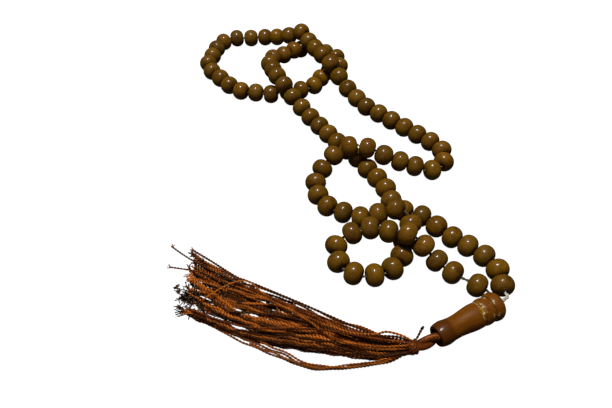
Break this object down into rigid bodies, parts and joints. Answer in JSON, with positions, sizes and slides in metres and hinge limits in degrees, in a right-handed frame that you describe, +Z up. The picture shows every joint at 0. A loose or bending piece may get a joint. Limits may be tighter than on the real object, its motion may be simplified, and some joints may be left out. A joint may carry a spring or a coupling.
{
  "type": "prayer beads",
  "caption": "Strand of turned wooden prayer beads on a white cord, laid in loops, with a turned head bead and a tassel of twisted cords.",
  "frame": {"origin": "middle of the outline as laid, on the surface it lies on", "axes": "+Y from the tassel to the far loops, +X to the right seen from the tassel, +Z up from the surface"},
  "size_m": [0.1181, 0.1855, 0.016],
  "materials": {
    "bead_wood": "gloss",
    "head_wood": "gloss",
    "cord": "matte",
    "thread": "satin",
    "tassel": "satin"
  },
  "bodies": {
    "strand_middle": {"cord_right_run": "cord", "cord_left_run": "cord", "beads_66_to_75": "bead_wood", "beads_76_to_87": "bead_wood"},
    "near_strand_1": {"cord_near_1": "cord"},
    "near_strand_2": {"cord_near_2": "cord"},
    "head_end": {"cord_head_end": "cord", "stopper_knot": "cord"},
    "head_bead": {"head_bead": "head_wood"},
    "neck": {"neck_cords": "tassel"},
    "tassel": {"neck_binding": "thread", "tassel_cords": "tassel", "tassel_loose_lock": "tassel"},
    "far_strand_1": {"cord_far_1": "cord"},
    "far_strand_2": {"cord_far_2": "cord"},
    "far_strand_3": {"cord_far_3": "cord"},
    "far_loops": {"cord_far_loops": "cord", "beads_21_to_30": "bead_wood", "beads_31_to_40": "bead_wood", "beads_41_to_50": "bead_wood", "beads_51_to_60": "bead_wood"},
    "bead_01": {"bead_01": "bead_wood"},
    "bead_02": {"bead_02": "bead_wood"},
    "bead_03": {"bead_03": "bead_wood"},
    "bead_04": {"bead_04": "bead_wood"},
    "bead_05": {"bead_05": "bead_wood"},
    "bead_06": {"bead_06": "bead_wood"},
    "bead_07": {"bead_07": "bead_wood"},
    "bead_08": {"bead_08": "bead_wood"},
    "bead_09": {"bead_09": "bead_wood"},
    "bead_10": {"bead_10": "bead_wood"},
    "bead_11": {"bead_11": "bead_wood"},
    "bead_12": {"bead_12": "bead_wood"},
    "bead_13": {"bead_13": "bead_wood"},
    "bead_14": {"bead_14": "bead_wood"},
    "bead_15": {"bead_15": "bead_wood"},
    "bead_16": {"bead_16": "bead_wood"},
    "bead_17": {"bead_17": "bead_wood"},
    "bead_18": {"bead_18": "bead_wood"},
    "bead_19": {"bead_19": "bead_wood"},
    "bead_20": {"bead_20": "bead_wood"},
    "bead_61": {"bead_61": "bead_wood"},
    "bead_62": {"bead_62": "bead_wood"},
    "bead_63": {"bead_63": "bead_wood"},
    "bead_64": {"bead_64": "bead_wood"},
    "bead_65": {"bead_65": "bead_wood"},
    "bead_88": {"bead_88": "bead_wood"},
    "bead_89": {"bead_89": "bead_wood"},
    "bead_90": {"bead_90": "bead_wood"},
    "bead_91": {"bead_91": "bead_wood"},
    "bead_92": {"bead_92": "bead_wood"},
    "bead_93": {"bead_93": "bead_wood"},
    "bead_94": {"bead_94": "bead_wood"},
    "bead_95": {"bead_95": "bead_wood"},
    "bead_96": {"bead_96": "bead_wood"},
    "bead_97": {"bead_97": "bead_wood"},
    "bead_98": {"bead_98": "bead_wood"},
    "bead_99": {"bead_99": "bead_wood"}
  },
  "joints": [
    {"name": "head_lift", "type": "hinge", "parent": "strand_middle", "child": "near_strand_1", "pos_m": [0.03854, -0.04788, 0.00723], "axis": [-0.9573, -0.0098, 0.289], "range_deg": [0, 12]},
    {"name": "head_lift_fold_2", "type": "hinge", "parent": "near_strand_1", "child": "near_strand_2", "pos_m": [0.04313, -0.05175, 0.0049], "axis": [-0.9897, 0.115, 0.085], "range_deg": [0, 12]},
    {"name": "head_lift_fold_3", "type": "hinge", "parent": "near_strand_2", "child": "head_end", "pos_m": [0.04621, -0.05723, 0.00382], "axis": [-0.9694, 0.2447, -0.0197], "range_deg": [0, 12]},
    {"name": "far_loops_lift", "type": "hinge", "parent": "strand_middle", "child": "far_strand_1", "pos_m": [0.01594, 0.01752, 0.00398], "axis": [0.9998, -0.0184, 0.0013], "range_deg": [0, 10]},
    {"name": "far_loops_lift_fold_2", "type": "hinge", "parent": "far_strand_1", "child": "far_strand_2", "pos_m": [0.01167, 0.02253, 0.00404], "axis": [0.9992, -0.04, -0.0023], "range_deg": [0, 10]},
    {"name": "far_loops_lift_fold_3", "type": "hinge", "parent": "far_strand_2", "child": "far_strand_3", "pos_m": [0.00727, 0.02761, 0.00436], "axis": [0.9978, -0.0619, -0.0218], "range_deg": [0, 10]},
    {"name": "far_loops_lift_fold_4", "type": "hinge", "parent": "far_strand_3", "child": "far_loops", "pos_m": [0.0028, 0.03243, 0.00512], "axis": [0.9943, -0.0802, -0.0707], "range_deg": [0, 10]},
    {"name": "tassel_swing", "type": "hinge", "parent": "head_end", "child": "neck", "pos_m": [0.03106, -0.08212, 0.00382], "axis": [0, 0, 1], "range_deg": [-12, 25]},
    {"name": "tassel_lift", "type": "hinge", "parent": "neck", "child": "tassel", "pos_m": [0.0244, -0.0854, 0.0032], "axis": [-0.1961, 0.9806, 0], "range_deg": [0, 30]},
    {"name": "slide_bead_99", "type": "slide", "parent": "head_end", "child": "bead_99", "axis": [-0.8019, 0.5974, 0], "range_m": [0, 0.002]},
    {"name": "head_spin", "type": "hinge", "parent": "head_end", "child": "head_bead", "pos_m": [0.0522, -0.0706, 0.00484], "axis": [-0.8772, -0.4782, -0.0424], "continuous": true},
    {"name": "turn_bead_01", "type": "hinge", "parent": "head_end", "child": "bead_01", "pos_m": [0.05502, -0.06288, 0.004], "axis": [-0.0399, 0.9992, 0], "continuous": true},
    {"name": "turn_bead_02", "type": "hinge", "parent": "near_strand_2", "child": "bead_02", "pos_m": [0.05475, -0.05623, 0.004], "axis": [-0.2686, 0.9632, 0], "continuous": true},
    {"name": "turn_bead_03", "type": "hinge", "parent": "near_strand_1", "child": "bead_03", "pos_m": [0.05144, -0.05023, 0.004], "axis": [-0.6127, 0.7903, 0], "continuous": true},
    {"name": "turn_bead_04", "type": "hinge", "parent": "strand_middle", "child": "bead_04", "pos_m": [0.04663, -0.0457, 0.004], "axis": [-0.7498, 0.6617, 0], "continuous": true},
    {"name": "turn_bead_05", "type": "hinge", "parent": "strand_middle", "child": "bead_05", "pos_m": [0.04181, -0.04171, 0.004], "axis": [-0.7267, 0.6869, 0], "continuous": true},
    {"name": "turn_bead_06", "type": "hinge", "parent": "strand_middle", "child": "bead_06", "pos_m": [0.03704, -0.03656, 0.004], "axis": [-0.6796, 0.7336, 0], "continuous": true},
    {"name": "turn_bead_07", "type": "hinge", "parent": "strand_middle", "child": "bead_07", "pos_m": [0.03232, -0.03147, 0.004], "axis": [-0.8167, 0.577, 0], "continuous": true},
    {"name": "turn_bead_08", "type": "hinge", "parent": "strand_middle", "child": "bead_08", "pos_m": [0.02615, -0.02881, 0.004], "axis": [-0.7893, 0.6141, 0], "continuous": true},
    {"name": "turn_bead_09", "type": "hinge", "parent": "strand_middle", "child": "bead_09", "pos_m": [0.02205, -0.02347, 0.004], "axis": [-0.425, 0.9052, 0], "continuous": true},
    {"name": "turn_bead_10", "type": "hinge", "parent": "strand_middle", "child": "bead_10", "pos_m": [0.0206, -0.01707, 0.004], "axis": [-0.3349, 0.9422, 0], "continuous": true},
    {"name": "turn_bead_11", "type": "hinge", "parent": "strand_middle", "child": "bead_11", "pos_m": [0.01777, -0.01138, 0.004], "axis": [-0.4899, 0.8718, 0], "continuous": true},
    {"name": "turn_bead_12", "type": "hinge", "parent": "strand_middle", "child": "bead_12", "pos_m": [0.01444, -0.00611, 0.004], "axis": [-0.5051, 0.863, 0], "continuous": true},
    {"name": "turn_bead_13", "type": "hinge", "parent": "strand_middle", "child": "bead_13", "pos_m": [0.01101, 0.00024, 0.004], "axis": [-0.5553, 0.8317, 0], "continuous": true},
    {"name": "turn_bead_14", "type": "hinge", "parent": "strand_middle", "child": "bead_14", "pos_m": [0.00708, 0.00509, 0.004], "axis": [-0.6288, 0.7776, 0], "continuous": true},
    {"name": "turn_bead_15", "type": "hinge", "parent": "strand_middle", "child": "bead_15", "pos_m": [0.00319, 0.00991, 0.004], "axis": [-0.5908, 0.8068, 0], "continuous": true},
    {"name": "turn_bead_16", "type": "hinge", "parent": "strand_middle", "child": "bead_16", "pos_m": [-0.0003, 0.01517, 0.004], "axis": [-0.5522, 0.8337, 0], "continuous": true},
    {"name": "turn_bead_17", "type": "hinge", "parent": "far_strand_1", "child": "bead_17", "pos_m": [-0.00383, 0.02051, 0.004], "axis": [-0.5622, 0.8264, 0.0303], "continuous": true},
    {"name": "turn_bead_18", "type": "hinge", "parent": "far_strand_2", "child": "bead_18", "pos_m": [-0.00761, 0.02591, 0.0044], "axis": [-0.5708, 0.8137, 0.11], "continuous": true},
    {"name": "turn_bead_19", "type": "hinge", "parent": "far_strand_3", "child": "bead_19", "pos_m": [-0.01135, 0.03124, 0.00545], "axis": [-0.5885, 0.7718, 0.2407], "continuous": true},
    {"name": "turn_bead_20", "type": "hinge", "parent": "far_loops", "child": "bead_20", "pos_m": [-0.01533, 0.03604, 0.00756], "axis": [-0.5888, 0.7056, 0.3943], "continuous": true},
    {"name": "turn_bead_61", "type": "hinge", "parent": "far_loops", "child": "bead_61", "pos_m": [0.01662, 0.03362, 0.004], "axis": [0.637, -0.7707, -0.0147], "continuous": true},
    {"name": "turn_bead_62", "type": "hinge", "parent": "far_strand_3", "child": "bead_62", "pos_m": [0.02155, 0.02889, 0.004], "axis": [0.7244, -0.6894, 0], "continuous": true},
    {"name": "turn_bead_63", "type": "hinge", "parent": "far_strand_2", "child": "bead_63", "pos_m": [0.02652, 0.0242, 0.004], "axis": [0.727, -0.6867, 0], "continuous": true},
    {"name": "turn_bead_64", "type": "hinge", "parent": "far_strand_1", "child": "bead_64", "pos_m": [0.03149, 0.01951, 0.004], "axis": [0.7259, -0.6878, 0], "continuous": true},
    {"name": "turn_bead_65", "type": "hinge", "parent": "strand_middle", "child": "bead_65", "pos_m": [0.03634, 0.01489, 0.004], "axis": [0.7246, -0.6892, 0], "continuous": true},
    {"name": "turn_bead_88", "type": "hinge", "parent": "strand_middle", "child": "bead_88", "pos_m": [0.01329, -0.05859, 0.004], "axis": [-0.9876, -0.1571, 0], "continuous": true},
    {"name": "turn_bead_89", "type": "hinge", "parent": "strand_middle", "child": "bead_89", "pos_m": [0.00644, -0.05786, 0.004], "axis": [-0.9014, 0.4329, 0], "continuous": true},
    {"name": "turn_bead_90", "type": "hinge", "parent": "strand_middle", "child": "bead_90", "pos_m": [0.00152, -0.0529, 0.004], "axis": [-0.4164, 0.9091, 0.0094], "continuous": true},
    {"name": "turn_bead_91", "type": "hinge", "parent": "strand_middle", "child": "bead_91", "pos_m": [0.00097, -0.04574, 0.00413], "axis": [0.414, 0.887, 0.2044], "continuous": true},
    {"name": "turn_bead_92", "type": "hinge", "parent": "strand_middle", "child": "bead_92", "pos_m": [0.00655, -0.04203, 0.00649], "axis": [0.8834, 0.2582, 0.391], "continuous": true},
    {"name": "turn_bead_93", "type": "hinge", "parent": "strand_middle", "child": "bead_93", "pos_m": [0.01271, -0.04221, 0.00932], "axis": [0.9432, -0.1899, 0.2727], "continuous": true},
    {"name": "turn_bead_94", "type": "hinge", "parent": "strand_middle", "child": "bead_94", "pos_m": [0.01876, -0.04445, 0.01006], "axis": [0.9197, -0.3517, 0.1744], "continuous": true},
    {"name": "turn_bead_95", "type": "hinge", "parent": "strand_middle", "child": "bead_95", "pos_m": [0.02481, -0.04684, 0.01162], "axis": [0.914, -0.3783, -0.1465], "continuous": true},
    {"name": "turn_bead_96", "type": "hinge", "parent": "near_strand_1", "child": "bead_96", "pos_m": [0.03032, -0.04923, 0.00811], "axis": [0.7328, -0.4113, -0.542], "continuous": true},
    {"name": "turn_bead_97", "type": "hinge", "parent": "near_strand_2", "child": "bead_97", "pos_m": [0.0349, -0.0525, 0.00417], "axis": [0.7085, -0.632, -0.3141], "continuous": true},
    {"name": "turn_bead_98", "type": "hinge", "parent": "head_end", "child": "bead_98", "pos_m": [0.03959, -0.0575, 0.004], "axis": [0.7458, -0.6661, -0.0125], "continuous": true}
  ]
}
